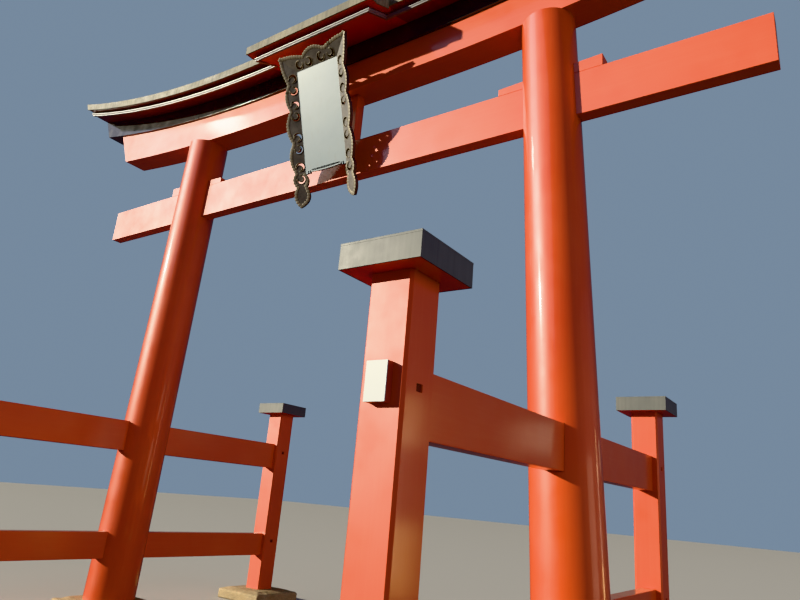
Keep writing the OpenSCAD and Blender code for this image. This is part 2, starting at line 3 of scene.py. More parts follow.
import bmesh
import bpy
from mathutils import Matrix, Vector, noise


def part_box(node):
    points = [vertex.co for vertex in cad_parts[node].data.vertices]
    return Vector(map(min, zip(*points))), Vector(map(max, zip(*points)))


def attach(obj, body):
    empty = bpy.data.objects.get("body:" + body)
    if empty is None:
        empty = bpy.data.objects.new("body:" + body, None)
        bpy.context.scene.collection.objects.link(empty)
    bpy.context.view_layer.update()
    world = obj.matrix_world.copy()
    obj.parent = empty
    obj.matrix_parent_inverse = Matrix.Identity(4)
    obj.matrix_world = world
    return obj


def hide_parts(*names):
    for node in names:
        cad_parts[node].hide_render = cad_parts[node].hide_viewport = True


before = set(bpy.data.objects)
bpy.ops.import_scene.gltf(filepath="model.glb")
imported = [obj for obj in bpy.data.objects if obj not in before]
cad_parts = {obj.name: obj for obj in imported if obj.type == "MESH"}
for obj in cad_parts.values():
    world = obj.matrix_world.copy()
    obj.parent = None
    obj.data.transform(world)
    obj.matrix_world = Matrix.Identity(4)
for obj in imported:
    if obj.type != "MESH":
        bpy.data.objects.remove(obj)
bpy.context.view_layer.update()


# Camera
# Held at eye height outside the right front post, tilted up and a little out of
# level, so that the gate runs away to the left.
CAMERA_PLACE = Vector((4.492, -4.811, 1.507))
CAMERA_YAW, CAMERA_PITCH, CAMERA_ROLL = 0.628, 0.2975, 0.0856
LENS_MM, SENSOR_MM, SIGHT_M = 29.09, 36.0, 200.0

ahead = Vector((-math.sin(CAMERA_YAW) * math.cos(CAMERA_PITCH),
                math.cos(CAMERA_YAW) * math.cos(CAMERA_PITCH), math.sin(CAMERA_PITCH)))
level = Vector((math.cos(CAMERA_YAW), math.sin(CAMERA_YAW), 0.0))
upright = level.cross(ahead)
across = math.cos(CAMERA_ROLL) * level + math.sin(CAMERA_ROLL) * upright
up = math.cos(CAMERA_ROLL) * upright - math.sin(CAMERA_ROLL) * level

camera = bpy.data.objects.new("photo_camera", bpy.data.cameras.new("photo_camera"))
camera.data.sensor_width = SENSOR_MM
camera.data.lens = LENS_MM
camera.data.clip_end = SIGHT_M
turned = Matrix((across, up, -ahead)).transposed().to_4x4()
camera.matrix_world = Matrix.Translation(CAMERA_PLACE) @ turned
bpy.context.scene.collection.objects.link(camera)
bpy.context.scene.camera = camera
bpy.context.scene.view_settings.view_transform = "Khronos PBR Neutral"


# Light and floor
# A low warm key light like a late sun, and a small lamp for its glint, stand at the
# front left. Panels out of sight show in glossy surfaces only, one wide soft panel
# and a dim world fill the shade, and the floor is plain.
KEY_TRAVEL = Vector((1.05, 1.0, -0.450)).normalized()
KEY_PLACE, KEY_ANGLE = (0, 0, 8), math.radians(1.2)
KEY_POWER, KEY_COLOUR = 6.6, (1.0, 0.915, 0.72)
SKY_SEEN, SKY_LIGHT = (0.22, 0.29, 0.38), (0.075, 0.100, 0.135)
GROUND_LIGHT, HORIZON_BLUR = (0.110, 0.078, 0.082), 0.15
FLOOR_COLOUR, FLOOR_ROUGHNESS, FLOOR_SIDE = (0.50, 0.49, 0.48), 0.9, 120.0
GLINT_SPOT = Vector((-2.055, -0.16, 6.164))
GLINT_AWAY, GLINT_R, GLINT_POWER = 12.0, 0.40, 480.0
# Place, what it faces, width, height, power, colour, and whether only gloss shows it
PANELS = [
    ((8.0, 4.9, 0.5), (2.9, -2.4, 1.3), 0.9, 1.2, 15, (1.0, 0.60, 0.20), True),
    ((8.0, 5.2, 2.9), (2.9, -2.4, 1.8), 0.35, 0.9, 5.0, (1.0, 0.62, 0.26), True),
    ((6.3, 7.6, 2.9), (2.9, -0.9, 1.9), 0.9, 0.6, 2.0, (1.0, 0.72, 0.46), True),
    ((11.7, 1.6, 1.6), (2.9, -0.1, 1.9), 3.8, 3.2, 60, (1.0, 0.66, 0.46), True),
    ((9.3, 6.4, 1.5), (2.9, -0.1, 1.9), 0.32, 3.0, 15, (1.0, 0.72, 0.50), True),
    ((-13.0, -22.5, 20.0), (0, 0, 5.0), 44.0, 18.0, 1900, (0.80, 0.78, 1.0), True),
    ((-19.5, -16.4, 20.9), (0, 0, 5.0), 14.0, 13.0, 1000, (0.78, 0.76, 1.0), True),
    ((26.0, 13.5, 6.5), (0, 0, 1.5), 26.0, 14.0, 260, (1.0, 0.60, 0.60), True),
    ((56.0, -11.0, 18.0), (0, 0, 3.0), 36.0, 28.0, 9600, (0.98, 0.88, 0.98), False),
]


def make_node(tree, kind, inputs=None, **settings):
    # One shader or geometry node with its settings, and its inputs set or wired
    made = tree.nodes.new(kind)
    for setting, value in settings.items():
        setattr(made, setting, value)
    for socket, value in (inputs or {}).items():
        if isinstance(value, bpy.types.NodeSocket):
            tree.links.new(value, made.inputs[socket])
        else:
            made.inputs[socket].default_value = value
    return made


def remap(tree, value, low, high, new_low=0.0, new_high=1.0):
    # Turns the range from low to high into another one
    inputs = {"Value": value, "From Min": low, "From Max": high, "To Min": new_low, "To Max": new_high}
    return make_node(tree, "ShaderNodeMapRange", inputs).outputs[0]


world = bpy.data.worlds.new("studio")
world.use_nodes = True
studio = world.node_tree
way = make_node(studio, "ShaderNodeTexCoord").outputs["Generated"]
rise = make_node(studio, "ShaderNodeSeparateXYZ", {0: way}).outputs["Z"]
above = remap(studio, rise, -HORIZON_BLUR, HORIZON_BLUR)
ground, sky, seen = [make_node(studio, "ShaderNodeBackground", {"Color": (*colour, 1.0)}).outputs[0]
                     for colour in (GROUND_LIGHT, SKY_LIGHT, SKY_SEEN)]
unseen = make_node(studio, "ShaderNodeMixShader", {0: above, 1: ground, 2: sky}).outputs[0]
to_camera = make_node(studio, "ShaderNodeLightPath").outputs["Is Camera Ray"]
backdrop = make_node(studio, "ShaderNodeMixShader", {0: to_camera, 1: unseen, 2: seen}).outputs[0]
studio.links.new(backdrop, studio.nodes["World Output"].inputs["Surface"])
bpy.context.scene.world = world


def hang_light(name, kind, place, facing, power, colour):
    # A lamp that the camera can't see, turned to shine along a direction
    lamp = bpy.data.objects.new(name, bpy.data.lights.new(name, kind))
    lamp.data.energy = power
    lamp.data.color = colour
    lamp.location = place
    lamp.rotation_mode = "QUATERNION"
    lamp.rotation_quaternion = facing.to_track_quat("-Z", "Y")
    lamp.visible_camera = False
    bpy.context.scene.collection.objects.link(lamp)
    return lamp


key = hang_light("key", "SUN", KEY_PLACE, KEY_TRAVEL, KEY_POWER, KEY_COLOUR)
key.data.angle = KEY_ANGLE
from_camera = (GLINT_SPOT - CAMERA_PLACE).normalized()
mirrored = Vector((from_camera.x, -from_camera.y, from_camera.z))
glint_place = GLINT_SPOT + mirrored * GLINT_AWAY
glint = hang_light("glint", "AREA", glint_place, -mirrored, GLINT_POWER, KEY_COLOUR)
glint.data.shape = "DISK"
glint.data.size = 2 * GLINT_R
glint.visible_diffuse = False
for number, (place, target, width, height, power, colour, gloss_only) in enumerate(PANELS):
    panel = hang_light(f"panel_{number}", "AREA", place, Vector(target) - Vector(place), power, colour)
    panel.data.shape = "RECTANGLE"
    panel.data.size, panel.data.size_y = width, height
    panel.visible_glossy = gloss_only
    panel.visible_diffuse = not gloss_only

half = FLOOR_SIDE / 2
corners = [(-half, -half, 0), (half, -half, 0), (half, half, 0), (-half, half, 0)]
floor_mesh = bpy.data.meshes.new("floor")
floor_mesh.from_pydata(corners, [], [(0, 1, 2, 3)])
floor = bpy.data.objects.new("floor", floor_mesh)
floor_finish = bpy.data.materials.new("pale floor")
floor_finish.use_nodes = True
floor_skin = floor_finish.node_tree.nodes["Principled BSDF"]
floor_skin.inputs["Base Color"].default_value = (*FLOOR_COLOUR, 1)
floor_skin.inputs["Roughness"].default_value = FLOOR_ROUGHNESS
floor_mesh.materials.append(floor_finish)
bpy.context.scene.collection.objects.link(floor)
floor.visible_diffuse = False
floor.visible_glossy = False


# Foundation stones
# Six square blocks of tan granite, dressed by hand, with a flat seat in the middle,
# a margin that falls to the edge and rougher sides. The timber only stands on them.
STONE_VOXEL, STONE_EASE = 0.013, 0.014
STONE_TONES, STONE_STAIN = ((0.42, 0.315, 0.175), (0.58, 0.46, 0.285)), (0.16, 0.14, 0.10)
CRYSTAL_TONE, CRYSTAL_SCALE = (0.27, 0.21, 0.14), 260.0
# How fine the rough dressing and the chips are, how deep they go, the noise that a
# chip starts from, and how much of a chip is left below the arris
DRESSING_SCALE, CHIP_SCALE = 16, 7
DRESSING_DEPTH, CHIP_DEPTH, CHIP_FROM, CHIP_LOW_SHARE = 0.0035, 0.02, 0.25, 0.3
# The seat's distance from the sides, and the heights of its skin, foot and arris
SEAT_MARGIN, SEAT_SKIN, FOOT_BAND, ARRIS_BAND = 0.12, 0.01, 0.02, 0.06
NOISE_ROUGHNESS = 0.55
# CAD points this near are one point, and faces this even are one face
WELD_WITHIN, FLAT_WITHIN = 2e-5, math.radians(0.25)


def start_finish(name, roughness, metallic=0.0, coat=0.0, coat_roughness=0.1):
    # A new material, its tree and its main shader with a plain gloss
    finish = bpy.data.materials.new(name)
    finish.use_nodes = True
    skin = finish.node_tree.nodes["Principled BSDF"]
    skin.inputs["Roughness"].default_value = roughness
    skin.inputs["Metallic"].default_value = metallic
    skin.inputs["Coat Weight"].default_value = coat
    skin.inputs["Coat Roughness"].default_value = coat_roughness
    return finish, finish.node_tree, skin


def clouds(tree, scale, detail=3.0, stretch=(1, 1, 1)):
    # Noise on the object's own coordinates, drawn out along an axis if asked
    place = make_node(tree, "ShaderNodeTexCoord").outputs["Object"]
    if stretch != (1, 1, 1):
        place = make_node(tree, "ShaderNodeMapping", {"Vector": place, "Scale": stretch}).outputs[0]
    inputs = {"Vector": place, "Scale": scale, "Detail": detail, "Roughness": NOISE_ROUGHNESS}
    return make_node(tree, "ShaderNodeTexNoise", inputs).outputs["Fac"]


def blend(tree, share, first, second):
    # Mixes two colours, each a tuple or a socket, by a share from 0 to 1
    made = make_node(tree, "ShaderNodeMix", data_type="RGBA")
    for index, value in ((0, share), (6, first), (7, second)):
        if isinstance(value, bpy.types.NodeSocket):
            tree.links.new(value, made.inputs[index])
        else:
            made.inputs[index].default_value = value if index == 0 else (*value, 1.0)
    return made.outputs[2]


def mottled(tree, tones, scale, detail=3.0, low=0.35, high=0.65):
    # One tone that passes into another in soft patches
    return blend(tree, remap(tree, clouds(tree, scale, detail), low, high), tones[0], tones[1])


def bump(tree, skin, layers):
    # Stacks height patterns, each with its strength and its depth in metres
    normal = None
    for height, strength, depth in layers:
        inputs = {"Height": height, "Strength": strength, "Distance": depth}
        if normal:
            inputs["Normal"] = normal
        normal = make_node(tree, "ShaderNodeBump", inputs).outputs["Normal"]
    tree.links.new(normal, skin.inputs["Normal"])


def granite(name):
    # Tan patches with dark crystals, stained in soft areas
    finish, tree, skin = start_finish(name, 0.85)
    patches = mottled(tree, STONE_TONES, 5.0)
    place = make_node(tree, "ShaderNodeTexCoord").outputs["Object"]
    crystals = make_node(tree, "ShaderNodeTexVoronoi", {"Vector": place, "Scale": CRYSTAL_SCALE})
    chance = make_node(tree, "ShaderNodeSeparateColor", {"Color": crystals.outputs["Color"]}).outputs[0]
    colour = blend(tree, remap(tree, chance, 0.72, 0.78), patches, CRYSTAL_TONE)
    weather = remap(tree, clouds(tree, 2.2, 5.0, (1, 1, 2)), 0.5, 0.72, 0.0, 0.5)
    tree.links.new(blend(tree, weather, colour, STONE_STAIN), skin.inputs["Base Color"])
    bump(tree, skin, [(clouds(tree, 60.0, 4.0), 0.7, 0.004), (clouds(tree, 260.0, 2.0), 0.5, 0.001)])
    return finish


def node_shape(node_name):
    # A CAD node's triangles, merged and joined into whole faces
    shape = bmesh.new()
    shape.from_mesh(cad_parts[node_name].data)
    bmesh.ops.remove_doubles(shape, verts=shape.verts, dist=WELD_WITHIN)
    bmesh.ops.dissolve_limit(shape, angle_limit=FLAT_WITHIN, verts=shape.verts, edges=shape.edges)
    return shape


def blank(name, shape):
    # An object made from a shape, which is used up
    mesh = bpy.data.meshes.new(name)
    shape.to_mesh(mesh)
    shape.free()
    made = bpy.data.objects.new(name, mesh)
    bpy.context.scene.collection.objects.link(made)
    return made


def evaluated_mesh(made):
    # The mesh that an object's modifiers make; the object itself goes
    graph = bpy.context.evaluated_depsgraph_get()
    mesh = bpy.data.meshes.new_from_object(made.evaluated_get(graph))
    bpy.data.objects.remove(made)
    return mesh


def set_up(name, mesh, finishes, slot, *nodes):
    # A finished mesh becomes a piece of the gate in place of its CAD nodes
    mesh.name = name
    piece = bpy.data.objects.new(name, mesh)
    bpy.context.scene.collection.objects.link(piece)
    if len(mesh.materials) == 0:
        for finish in finishes:
            mesh.materials.append(finish)
    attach(piece, "root")
    if nodes:
        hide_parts(*nodes)
    return piece


def dress(mesh, node_name, number):
    # Roughens and chips a block, each in its own way, all but its seat and very foot
    low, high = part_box(node_name)
    for vertex in mesh.vertices:
        place = vertex.co
        rough = noise.fractal(place * DRESSING_SCALE + Vector((number, 0, 0)), 1.0, 2.0, 4)
        chip = max(0.0, noise.noise(place * CHIP_SCALE + Vector((0, number, 5))) - CHIP_FROM)
        from_side = min(place.x - low.x, high.x - place.x, place.y - low.y, high.y - place.y)
        inner = from_side > SEAT_MARGIN
        on_seat = inner and place.z > high.z - SEAT_SKIN
        if not on_seat and place.z > FOOT_BAND:
            on_arris = place.z > high.z - ARRIS_BAND and not inner
            chip_share = 1.0 if on_arris else CHIP_LOW_SHARE
            shift = rough * DRESSING_DEPTH - chip * CHIP_DEPTH * chip_share
            middle = Vector(((low.x + high.x) / 2, (low.y + high.y) / 2, place.z))
            outward = (place - middle).normalized()
            vertex.co = place + outward * shift + Vector((0, 0, min(0.0, shift)))
    for face in mesh.polygons:
        face.use_smooth = True


granite_finish = granite("tan granite")
for number, node_name in enumerate(["left_pillar_stone", "right_pillar_stone", "left_front_stone",
                                    "left_rear_stone", "right_front_stone", "right_rear_stone"]):
    block = blank(node_name + "_blank", node_shape(node_name))
    ease = block.modifiers.new("eased", "BEVEL")
    ease.width = STONE_EASE
    ease.segments = 2
    block.modifiers.new("even", "REMESH").voxel_size = STONE_VOXEL
    mesh = evaluated_mesh(block)
    dress(mesh, node_name, number)
    set_up(node_name + "_block", mesh, [granite_finish], "stone", node_name)


# Pillars
# Two tapered round logs, lacquered vermilion, that lean towards each other. They
# stand on their stones, carry the lintel and are mortised for the nuki, its wedges
# and both ties.
PILLAR_SPACING, PILLAR_LEAN = 5.470, math.radians(2.7)
PILLAR_FOOT_R, PILLAR_HEAD_R = 0.280, 0.250
PILLAR_SIDES, PILLAR_RINGS = 144, 24
STONE_TOP, SHIMAGI_BOTTOM = 0.150, 5.855
SORI_FLAT, SORI_REFERENCE, SHIMAGI_RISE = 0.915, 5.0, 0.300
SORI_LAST, SORI_OUTER = 4.714, 5.164
MORTISE_ROOM, WEDGE_SUNK, TOP_BAND = 0.0025, 0.05, 0.01
SETTLING_ROUNDS, ROUND_WITHIN = 20, 0.95
SIDES = ((-1, "left"), (1, "right"))
# The main tone, a deeper one, and a paler one in the brush strokes
PILLAR_VERMILION = ((0.67, 0.106, 0.028), (0.61, 0.080, 0.021), (0.72, 0.16, 0.055))
LACQUER_DUST, LACQUER_SPECULAR = (0.60, 0.34, 0.18), 0.75


def sori(x):
    # Share of the upward curve's rise: level in the middle, then a parabola, and
    # past the last station straight on along the chord to the outer one
    here = min(abs(x), SORI_LAST)
    share = max(0.0, (here - SORI_FLAT) / (SORI_REFERENCE - SORI_FLAT)) ** 2
    if abs(x) > SORI_LAST:
        slope = (SORI_OUTER + SORI_LAST - 2 * SORI_FLAT) / (SORI_REFERENCE - SORI_FLAT) ** 2
        share += slope * (abs(x) - SORI_LAST)
    return share


def facing_up(tree):
    # From 0 on steep faces to 1 on level ones, where dust can lie
    normal = make_node(tree, "ShaderNodeNewGeometry").outputs["Normal"]
    height = make_node(tree, "ShaderNodeSeparateXYZ", {"Vector": normal}).outputs["Z"]
    return remap(tree, height, 0.55, 0.95)


def uneven_gloss(tree, skin, scale, low, high):
    # Roughness that wanders between two values
    tree.links.new(remap(tree, clouds(tree, scale, 4.0), 0.3, 0.7, low, high), skin.inputs["Roughness"])


def lacquer(name, tones, along, roughness, coat, gloss):
    # Brushed along the timber, a little uneven in tone, paler where dust lies
    finish, tree, skin = start_finish(name, roughness, coat=coat, coat_roughness=gloss)
    skin.inputs["Specular IOR Level"].default_value = LACQUER_SPECULAR
    strokes = clouds(tree, 2.4, 4.0, tuple(0.7 if axis == along else 22.0 for axis in "XYZ"))
    tone = mottled(tree, tones, 0.9, 4.0, 0.36, 0.66)
    tone = blend(tree, remap(tree, strokes, 0.46, 0.80, 0.0, 0.22), tone, tones[2])
    patchy = remap(tree, clouds(tree, 9.0), 0.3, 0.6, 0.35, 0.7)
    dust = make_node(tree, "ShaderNodeMath", {0: facing_up(tree), 1: patchy}, operation="MULTIPLY")
    tree.links.new(blend(tree, dust.outputs[0], tone, LACQUER_DUST), skin.inputs["Base Color"])
    uneven_gloss(tree, skin, 3.5, roughness - 0.07, roughness + 0.09)
    waves, grit = clouds(tree, 1.6, 1.0), clouds(tree, 240.0, 1.0)
    bump(tree, skin, [(strokes, 0.18, 0.0008), (waves, 0.25, 0.003), (grit, 0.06, 0.0003)])
    return finish


def box_shape(low, high, room):
    # A box between two corners, larger on every side by some room
    shape = bmesh.new()
    bmesh.ops.create_cube(shape, size=1.0)
    for vertex in shape.verts:
        for axis in range(3):
            edge = high[axis] + room if vertex.co[axis] > 0 else low[axis] - room
            vertex.co[axis] = edge
    return shape


def leaning_log(side):
    # Straight lines from the foot, cut level, to the head, cut along the lintel
    axis = Vector((-side * math.sin(PILLAR_LEAN), 0, math.cos(PILLAR_LEAN)))
    sideways = Vector((math.cos(PILLAR_LEAN), 0, side * math.sin(PILLAR_LEAN)))
    foot = Vector((side * PILLAR_SPACING / 2, 0, STONE_TOP))
    taper = (PILLAR_FOOT_R - PILLAR_HEAD_R) / (SHIMAGI_BOTTOM - STONE_TOP)
    shape = bmesh.new()

    def on_log(angle, way):
        radius = PILLAR_FOOT_R - taper * way
        outward = math.cos(angle) * sideways + math.sin(angle) * Vector((0, 1, 0))
        return foot + axis * way + radius * outward

    lines = []
    for number in range(PILLAR_SIDES):
        angle = 2 * math.pi * number / PILLAR_SIDES
        ways = []
        for meets in (lambda p: STONE_TOP, lambda p: SHIMAGI_BOTTOM + SHIMAGI_RISE * sori(p.x)):
            way = 0.0
            for turn in range(SETTLING_ROUNDS):
                point = on_log(angle, way)
                way += (meets(point) - point.z) / math.cos(PILLAR_LEAN)
            ways.append(way)
        line = []
        for ring in range(PILLAR_RINGS + 1):
            way = ways[0] + (ways[1] - ways[0]) * ring / PILLAR_RINGS
            line.append(shape.verts.new(on_log(angle, way)))
        lines.append(line)
    for number, line in enumerate(lines):
        beside = lines[(number + 1) % PILLAR_SIDES]
        for ring in range(PILLAR_RINGS):
            shape.faces.new((line[ring], beside[ring], beside[ring + 1], line[ring + 1]))
    shape.faces.new([line[0] for line in reversed(lines)])
    middle = shape.verts.new(sum((line[-1].co for line in lines), Vector()) / PILLAR_SIDES)
    for number, line in enumerate(lines):
        shape.faces.new((line[-1], lines[(number + 1) % PILLAR_SIDES][-1], middle))
    bmesh.ops.recalc_face_normals(shape, faces=shape.faces)
    return shape, foot, axis


def round_normals(mesh, foot, axis):
    # Shades the log's side as truly round, whatever the mortises cut from it
    normals = []
    for face in mesh.polygons:
        for corner in face.loop_indices:
            place = mesh.vertices[mesh.loops[corner].vertex_index].co - foot
            radial = (place - axis * place.dot(axis)).normalized()
            normals.append(radial if radial.dot(face.normal) > ROUND_WITHIN else face.normal.copy())
    for face in mesh.polygons:
        face.use_smooth = True
    mesh.normals_split_custom_set(normals)


def wedge_cutter():
    # The wedges with room round them, run down into the mortise of the nuki
    cutter = node_shape("nuki_wedges")
    nuki_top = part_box("nuki")[1].z
    for vertex in cutter.verts:
        vertex.co.y += math.copysign(MORTISE_ROOM, vertex.co.y)
        vertex.co.z += MORTISE_ROOM if vertex.co.z > nuki_top + TOP_BAND else -WEDGE_SUNK
    return cutter


pillar_lacquer = lacquer("pillar lacquer", PILLAR_VERMILION, "Z", roughness=0.42, coat=0.9, gloss=0.08)
for side, side_name in SIDES:
    shape, foot, axis = leaning_log(side)
    log = blank(side_name + "_pillar_blank", shape)
    beams = (side_name + "_upper_tie", side_name + "_lower_tie", "nuki")
    cutters = [blank(beam + "_mortise", box_shape(*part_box(beam), MORTISE_ROOM)) for beam in beams]
    cutters.append(blank("wedge_mortise", wedge_cutter()))
    for cutter in cutters:
        cut = log.modifiers.new("mortise", "BOOLEAN")
        cut.operation = "DIFFERENCE"
        cut.solver = "EXACT"
        cut.object = cutter
    mesh = evaluated_mesh(log)
    for cutter in cutters:
        bpy.data.objects.remove(cutter)
    mesh.materials.clear()
    round_normals(mesh, foot, axis)
    set_up(side_name + "_pillar_log", mesh, [pillar_lacquer], "vermilion", side_name + "_pillar")


# Posts
# Four square posts with flat-cut corners stand at the ends of the tie beams, on
# stones of their own. They are lacquered too, and worn paler on the arrises.
POST_EASE, FLAT_FACE_WEIGHT = 0.0025, 90
POST_VERMILION = ((0.65, 0.099, 0.033), (0.60, 0.080, 0.026), (0.70, 0.155, 0.065))
ARRIS_TONES = ((0.70, 0.10, 0.035), (0.62, 0.17, 0.10))
CORNERS = ("left_front", "left_rear", "right_front", "right_rear")


def eased(name, shape, width, finishes, slot, *nodes, steps=2, angle=28.0):
    # Eases the edges of a mesh by a width; a second finish goes on those edges
    rough = blank(name + "_blank", shape)
    for face in rough.data.polygons:
        face.use_smooth = True
    for finish in finishes:
        rough.data.materials.append(finish)
    bevel = rough.modifiers.new("eased edges", "BEVEL")
    bevel.width = width
    bevel.segments = steps
    bevel.limit_method = "ANGLE"
    bevel.angle_limit = math.radians(angle)
    bevel.material = len(finishes) - 1
    weigh = rough.modifiers.new("flat faces", "WEIGHTED_NORMAL")
    weigh.weight = FLAT_FACE_WEIGHT
    return set_up(name, evaluated_mesh(rough), finishes, slot, *nodes)


def worn(name, tones):
    # Arris where the lacquer is rubbed thin and holds dust
    finish, tree, skin = start_finish(name, 0.5, coat=0.2, coat_roughness=0.3)
    tree.links.new(mottled(tree, tones, 22.0, 5.0, 0.45, 0.70), skin.inputs["Base Color"])
    bump(tree, skin, [(clouds(tree, 120.0, 3.0), 0.3, 0.0008)])
    return finish


post_lacquer = lacquer("post lacquer", POST_VERMILION, "Z", roughness=0.48, coat=0.7, gloss=0.13)
worn_arris = worn("worn lacquer arris", ARRIS_TONES)
for corner in CORNERS:
    eased(corner + "_post_timber", node_shape(corner + "_post"), POST_EASE,
          [post_lacquer, worn_arris], "vermilion", corner + "_post")


# Tie beams and their pegs
# Two planks on each side run from the front post through the pillar to the rear
# post. A dark hardwood peg crosses each of their ends inside the post.
TIE_EASE, PEG_EASE = 0.004, 0.002
PEG_TONES = ((0.060, 0.014, 0.010), (0.20, 0.05, 0.035))

tie_lacquer = lacquer("tie beam lacquer", PILLAR_VERMILION, "Y", roughness=0.46, coat=0.9, gloss=0.15)
for side_name in ("left", "right"):
    for level_name in ("upper", "lower"):
        tie = f"{side_name}_{level_name}_tie"
        eased(tie + "_plank", node_shape(tie), TIE_EASE, [tie_lacquer, worn_arris], "vermilion", tie)


def peg_timber(name, tones):
    finish, tree, skin = start_finish(name, 0.7)
    grain = clouds(tree, 3.0, 5.0, (2, 60, 60))
    tree.links.new(blend(tree, remap(tree, grain, 0.35, 0.65), *tones), skin.inputs["Base Color"])
    bump(tree, skin, [(grain, 0.5, 0.0015)])
    return finish


eased("post_peg_ends", node_shape("post_pegs"), PEG_EASE, [peg_timber("peg hardwood", PEG_TONES)],
      "peg_wood", "post_pegs")


# Nuki, wedges and middle strut
# The nuki is one long plank through both pillars, locked by a wedge driven in on
# top of it on each side. The strut stands on it and holds up the lintel's middle.
NUKI_EASE = 0.004
BEAM_VERMILION = ((0.65, 0.106, 0.033), (0.59, 0.085, 0.026), (0.71, 0.16, 0.065))

beam_lacquer = lacquer("beam lacquer", BEAM_VERMILION, "X", roughness=0.48, coat=0.7, gloss=0.12)
eased("nuki_plank", node_shape("nuki"), NUKI_EASE, [beam_lacquer, worn_arris], "vermilion", "nuki")
eased("nuki_wedge_pair", node_shape("nuki_wedges"), NUKI_EASE,
      [beam_lacquer, worn_arris], "vermilion", "nuki_wedges")
eased("middle_strut_timber", node_shape("middle_strut"), NUKI_EASE,
      [pillar_lacquer, worn_arris], "vermilion", "middle_strut")


# Lintel
# The vermilion shimagi lies on the pillars and the black kasagi lies on it. Both
# are sawn to the upward curve, deeper towards their slanted ends.
LINTEL_EASE = 0.005
# The black tones are bluish grey: partly the lacquer's own colour, partly a painted sky reflection
BLACK_AND_SKY_TONES, BLACK_DUST = ((0.026, 0.029, 0.032), (0.048, 0.053, 0.058)), (0.10, 0.09, 0.08)
BLACK_SPECULAR = 0.35

eased("shimagi_beam", node_shape("shimagi"), LINTEL_EASE,
      [beam_lacquer, worn_arris], "vermilion", "shimagi")


def black_lacquer(name):
    # Deep and glossy, with soft patches, and dust on top. The black is lifted to a bluish grey as a painted
    # reflection of the sky.
    finish, tree, skin = start_finish(name, 0.26, coat=0.5, coat_roughness=0.06)
    skin.inputs["Specular IOR Level"].default_value = BLACK_SPECULAR
    colour = mottled(tree, BLACK_AND_SKY_TONES, 1.6, 5.0, 0.35, 0.7)
    tree.links.new(blend(tree, facing_up(tree), colour, BLACK_DUST), skin.inputs["Base Color"])
    uneven_gloss(tree, skin, 5.0, 0.10, 0.20)
    bump(tree, skin, [(clouds(tree, 1.4, 1.0, (0.5, 2, 2)), 0.2, 0.0006)])
    return finish


eased("kasagi_beam", node_shape("kasagi"), LINTEL_EASE,
      [black_lacquer("black lacquer with painted sky reflection")], "black_lacquer", "kasagi")


# Eaves
# Boards nailed to the kasagi slope down and out to the moulding, and carry the
# level boards under the copper edge. All of them are painted dark red; the red is
# toned darker on the side eaves as painted shade and brighter on the middle eaves
# as painted light.
EAVES_EASE = 0.002
# One dark red paint in two copies: darker on the side eaves as painted shade, brighter on the middle eaves
# and cap boards as painted light
SHADED_RED_TONES = ((0.28, 0.014, 0.009), (0.20, 0.010, 0.007))
LIT_RED_TONES = ((0.66, 0.034, 0.018), (0.52, 0.025, 0.014))
RED_STROKES = (0.42, 0.05, 0.03)


def dark_red_paint(name, tones):
    # Thin paint that has faded in patches, with the strokes of a wide brush
    finish, tree, skin = start_finish(name, 0.42, coat=0.35, coat_roughness=0.2)
    tone = mottled(tree, tones, 1.1, 4.0)
    strokes = clouds(tree, 2.0, 4.0, (0.7, 24, 24))
    tone = blend(tree, remap(tree, strokes, 0.5, 0.8, 0.0, 0.3), tone, RED_STROKES)
    tree.links.new(tone, skin.inputs["Base Color"])
    bump(tree, skin, [(strokes, 0.3, 0.001)])
    return finish


shaded_red_paint = dark_red_paint("dark red eaves paint", SHADED_RED_TONES)
lit_red_paint = dark_red_paint("red paint of the middle eaves", LIT_RED_TONES)
for part, paint in (("left", shaded_red_paint), ("middle", lit_red_paint), ("right", shaded_red_paint)):
    eased(part + "_eaves_boards", node_shape(part + "_eaves"), EAVES_EASE,
          [paint], "dark_red", part + "_eaves")


# Mouldings
# A strip of dull silver metal runs along the foot of the eaves, with a narrow band
# at its foot and a belly above that. It turns forward and slopes down round the
# middle roof, whose front edge lies lower.
EAVE_Z, EAVE_RISE, KASAGI_BOTTOM, KASAGI_RISE = 6.350, 0.571, 6.215, 0.440
EAVE_REACH, PORCH_REACH, PORCH_HALF, PORCH_DROP = 0.440, 0.735, 0.825, 0.124
KASAGI_REACH, END_SLANT = 4.864, math.radians(26.5)
MOULDING_T, MOULDING_H, MOULDING_EASE, BEND_GAP = 0.018, 0.064, 0.001, 0.001
STATIONS, STATION_GAP = 48, 0.02
STRIP_TONES, STRIP_STREAKS = ((0.31, 0.315, 0.325), (0.24, 0.25, 0.26)), (0.20, 0.185, 0.18)
# Distance in front of the strip's plain face and height above its foot
MOULDING_PROFILE = [(-MOULDING_T, -0.006), (0.004, -0.006), (0.006, -0.004), (0.006, 0.006), (0.004, 0.008),
                    (0.012, 0.014), (0.016, 0.022), (0.016, 0.031), (0.012, 0.041), (0.005, 0.050),
                    (-0.001, 0.057), (-0.004, MOULDING_H), (-MOULDING_T, MOULDING_H)]


def end_x(z, rise):
    # Where a line of the roof meets the slanted plane of its end
    x = KASAGI_REACH
    end_z = KASAGI_BOTTOM + KASAGI_RISE * sori(KASAGI_REACH)
    for turn in range(SETTLING_ROUNDS):
        x = KASAGI_REACH + (z + rise * sori(x) - end_z) * math.tan(END_SLANT)
    return x


def join_rings(shape, rings):
    # A closed skin over outlines that follow each other
    count = len(rings[0])
    faces = [shape.faces.new(rings[0]), shape.faces.new(list(reversed(rings[-1])))]
    for ring, beyond in zip(rings, rings[1:]):
        for number in range(count):
            after = (number + 1) % count
            faces.append(shape.faces.new((ring[number], beyond[number], beyond[after], ring[after])))
    bmesh.ops.recalc_face_normals(shape, faces=faces)


